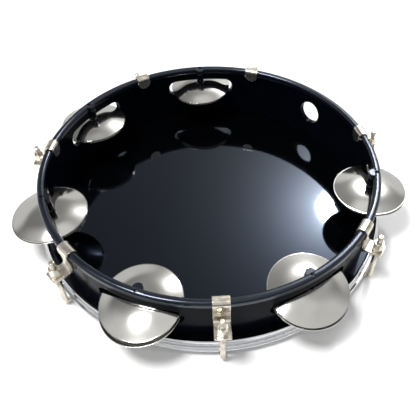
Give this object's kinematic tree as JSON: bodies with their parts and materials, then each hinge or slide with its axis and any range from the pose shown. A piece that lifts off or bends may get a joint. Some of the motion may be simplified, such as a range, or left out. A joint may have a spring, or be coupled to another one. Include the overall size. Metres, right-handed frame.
{
  "type": "headed tambourine",
  "caption": "Round hand drum with a black ring, black film head held by a chrome hoop, hooks and claws, and stacks of domed metal jingles in slots.",
  "frame": {"origin": "centre of the drumhead's outer (playing) face", "axes": "+Z along the ring's axis, from the playing face towards the open side; the thumb hole faces 41.8 degrees from +X towards +Y"},
  "size_m": [0.2938, 0.2913, 0.0513],
  "materials": {
    "shell": "glossy black moulded plastic",
    "film": "mirror smooth black polyester film",
    "flesh_ring": "black moulded plastic",
    "hoop_chrome": "bright chrome plate",
    "claw_nickel": "warm nickel plate",
    "rod_nickel": "warm nickel plate, threaded",
    "nut_nickel": "warm nickel plate",
    "jingle_steel": "spun and polished, nickel plated",
    "damper_steel": "plain stamped sheet",
    "pin_steel": "drawn steel"
  },
  "bodies": {
    "drum": {"frame": "shell", "drumhead": "film", "flesh_hoop": "flesh_ring", "counter_hoop": "hoop_chrome", "claw_1": "claw_nickel", "claw_2": "claw_nickel", "claw_3": "claw_nickel", "claw_4": "claw_nickel", "claw_5": "claw_nickel", "claw_6": "claw_nickel", "claw_7": "claw_nickel", "jingle_pin_1": "pin_steel", "jingle_pin_2": "pin_steel", "jingle_pin_3": "pin_steel", "jingle_pin_4": "pin_steel", "jingle_pin_5": "pin_steel", "jingle_pin_6": "pin_steel"},
    "lower_jingle_1": {"lower_jingle_1": "jingle_steel"},
    "damper_disc_1": {"damper_disc_1": "damper_steel"},
    "upper_jingle_1": {"upper_jingle_1": "jingle_steel"},
    "lower_jingle_2": {"lower_jingle_2": "jingle_steel"},
    "damper_disc_2": {"damper_disc_2": "damper_steel"},
    "upper_jingle_2": {"upper_jingle_2": "jingle_steel"},
    "lower_jingle_3": {"lower_jingle_3": "jingle_steel"},
    "damper_disc_3": {"damper_disc_3": "damper_steel"},
    "upper_jingle_3": {"upper_jingle_3": "jingle_steel"},
    "lower_jingle_4": {"lower_jingle_4": "jingle_steel"},
    "damper_disc_4": {"damper_disc_4": "damper_steel"},
    "upper_jingle_4": {"upper_jingle_4": "jingle_steel"},
    "lower_jingle_5": {"lower_jingle_5": "jingle_steel"},
    "damper_disc_5": {"damper_disc_5": "damper_steel"},
    "upper_jingle_5": {"upper_jingle_5": "jingle_steel"},
    "lower_jingle_6": {"lower_jingle_6": "jingle_steel"},
    "damper_disc_6": {"damper_disc_6": "damper_steel"},
    "upper_jingle_6": {"upper_jingle_6": "jingle_steel"},
    "nut_1": {"nut_1": "nut_nickel"},
    "hook_1": {"hook_1": "rod_nickel"},
    "nut_2": {"nut_2": "nut_nickel"},
    "hook_2": {"hook_2": "rod_nickel"},
    "nut_3": {"nut_3": "nut_nickel"},
    "hook_3": {"hook_3": "rod_nickel"},
    "nut_4": {"nut_4": "nut_nickel"},
    "hook_4": {"hook_4": "rod_nickel"},
    "nut_5": {"nut_5": "nut_nickel"},
    "hook_5": {"hook_5": "rod_nickel"},
    "nut_6": {"nut_6": "nut_nickel"},
    "hook_6": {"hook_6": "rod_nickel"},
    "nut_7": {"nut_7": "nut_nickel"},
    "hook_7": {"hook_7": "rod_nickel"}
  },
  "joints": [
    {"name": "lower_jingle_slide_1", "type": "slide", "parent": "drum", "child": "lower_jingle_1", "axis": [0, 0, 1], "range_m": [-0.0002, 0.0007]},
    {"name": "damper_disc_slide_1", "type": "slide", "parent": "lower_jingle_1", "child": "damper_disc_1", "axis": [0, 0, 1], "range_m": [0, 0.0007]},
    {"name": "upper_jingle_slide_1", "type": "slide", "parent": "damper_disc_1", "child": "upper_jingle_1", "axis": [0, 0, 1], "range_m": [-0.00005, 0.0007]},
    {"name": "lower_jingle_slide_2", "type": "slide", "parent": "drum", "child": "lower_jingle_2", "axis": [0, 0, 1], "range_m": [-0.0001, 0.0007]},
    {"name": "damper_disc_slide_2", "type": "slide", "parent": "lower_jingle_2", "child": "damper_disc_2", "axis": [0, 0, 1], "range_m": [0, 0.0007]},
    {"name": "upper_jingle_slide_2", "type": "slide", "parent": "damper_disc_2", "child": "upper_jingle_2", "axis": [0, 0, 1], "range_m": [-0.00005, 0.0007]},
    {"name": "lower_jingle_slide_3", "type": "slide", "parent": "drum", "child": "lower_jingle_3", "axis": [0, 0, 1], "range_m": [-0.0002, 0.00065]},
    {"name": "damper_disc_slide_3", "type": "slide", "parent": "lower_jingle_3", "child": "damper_disc_3", "axis": [0, 0, 1], "range_m": [0, 0.00065]},
    {"name": "upper_jingle_slide_3", "type": "slide", "parent": "damper_disc_3", "child": "upper_jingle_3", "axis": [0, 0, 1], "range_m": [-0.00025, 0.00065]},
    {"name": "lower_jingle_slide_4", "type": "slide", "parent": "drum", "child": "lower_jingle_4", "axis": [0, 0, 1], "range_m": [-0.0001, 0.0004]},
    {"name": "damper_disc_slide_4", "type": "slide", "parent": "lower_jingle_4", "child": "damper_disc_4", "axis": [0, 0, 1], "range_m": [0, 0.0004]},
    {"name": "upper_jingle_slide_4", "type": "slide", "parent": "damper_disc_4", "child": "upper_jingle_4", "axis": [0, 0, 1], "range_m": [-0.00065, 0.0004]},
    {"name": "lower_jingle_slide_5", "type": "slide", "parent": "drum", "child": "lower_jingle_5", "axis": [0, 0, 1], "range_m": [-0.0002, 0.0001]},
    {"name": "damper_disc_slide_5", "type": "slide", "parent": "lower_jingle_5", "child": "damper_disc_5", "axis": [0, 0, 1], "range_m": [0, 0.0001]},
    {"name": "upper_jingle_slide_5", "type": "slide", "parent": "damper_disc_5", "child": "upper_jingle_5", "axis": [0, 0, 1], "range_m": [-0.00125, 0.0001]},
    {"name": "lower_jingle_slide_6", "type": "slide", "parent": "drum", "child": "lower_jingle_6", "axis": [0, 0, 1], "range_m": [0, 0.00075]},
    {"name": "damper_disc_slide_6", "type": "slide", "parent": "lower_jingle_6", "child": "damper_disc_6", "axis": [0, 0, 1], "range_m": [0, 0.00075]},
    {"name": "upper_jingle_slide_6", "type": "slide", "parent": "damper_disc_6", "child": "upper_jingle_6", "axis": [0, 0, 1], "range_m": [0, 0.00075]},
    {"name": "nut_turn_1", "type": "hinge", "parent": "drum", "child": "nut_1", "pos_m": [-0.06458, 0.12051, 0.034], "axis": [0.0247, -0.0461, 0.9986], "range_deg": [0, 720]},
    {"name": "hook_slide_1", "type": "slide", "parent": "drum", "child": "hook_1", "axis": [-0.0247, 0.0461, -0.9986], "range_m": [0, 0.0014]},
    {"name": "nut_turn_2", "type": "hinge", "parent": "drum", "child": "nut_2", "pos_m": [0.04506, 0.12909, 0.034], "axis": [-0.0172, -0.0494, 0.9986], "range_deg": [0, 720]},
    {"name": "hook_slide_2", "type": "slide", "parent": "drum", "child": "hook_2", "axis": [0.0172, 0.0494, -0.9986], "range_m": [0, 0.0014]},
    {"name": "nut_turn_3", "type": "hinge", "parent": "drum", "child": "nut_3", "pos_m": [0.13347, 0.02966, 0.034], "axis": [-0.0511, -0.0114, 0.9986], "range_deg": [0, 720]},
    {"name": "hook_slide_3", "type": "slide", "parent": "drum", "child": "hook_3", "axis": [0.0511, 0.0114, -0.9986], "range_m": [0, 0.0014]},
    {"name": "nut_turn_4", "type": "hinge", "parent": "drum", "child": "nut_4", "pos_m": [0.11159, -0.07901, 0.034], "axis": [-0.0427, 0.0302, 0.9986], "range_deg": [0, 720]},
    {"name": "hook_slide_4", "type": "slide", "parent": "drum", "child": "hook_4", "axis": [0.0427, -0.0302, -0.9986], "range_m": [0, 0.0014]},
    {"name": "nut_turn_5", "type": "hinge", "parent": "drum", "child": "nut_5", "pos_m": [0.00351, -0.13668, 0.034], "axis": [-0.0013, 0.0523, 0.9986], "range_deg": [0, 720]},
    {"name": "hook_slide_5", "type": "slide", "parent": "drum", "child": "hook_5", "axis": [0.0013, -0.0523, -0.9986], "range_m": [0, 0.0014]},
    {"name": "nut_turn_6", "type": "hinge", "parent": "drum", "child": "nut_6", "pos_m": [-0.10312, -0.08978, 0.034], "axis": [0.0395, 0.0344, 0.9986], "range_deg": [0, 720]},
    {"name": "hook_slide_6", "type": "slide", "parent": "drum", "child": "hook_6", "axis": [-0.0395, -0.0344, -0.9986], "range_m": [0, 0.0014]},
    {"name": "nut_turn_7", "type": "hinge", "parent": "drum", "child": "nut_7", "pos_m": [-0.13501, 0.02159, 0.034], "axis": [0.0517, -0.0083, 0.9986], "range_deg": [0, 720]},
    {"name": "hook_slide_7", "type": "slide", "parent": "drum", "child": "hook_7", "axis": [-0.0517, 0.0083, -0.9986], "range_m": [0, 0.0014]}
  ],
  "couplings": [
    {"joint": "nut_turn_1", "follows": "hook_slide_1", "rad_per_m": 8976},
    {"joint": "nut_turn_2", "follows": "hook_slide_2", "rad_per_m": 8976},
    {"joint": "nut_turn_3", "follows": "hook_slide_3", "rad_per_m": 8976},
    {"joint": "nut_turn_4", "follows": "hook_slide_4", "rad_per_m": 8976},
    {"joint": "nut_turn_5", "follows": "hook_slide_5", "rad_per_m": 8976},
    {"joint": "nut_turn_6", "follows": "hook_slide_6", "rad_per_m": 8976},
    {"joint": "nut_turn_7", "follows": "hook_slide_7", "rad_per_m": 8976}
  ]
}
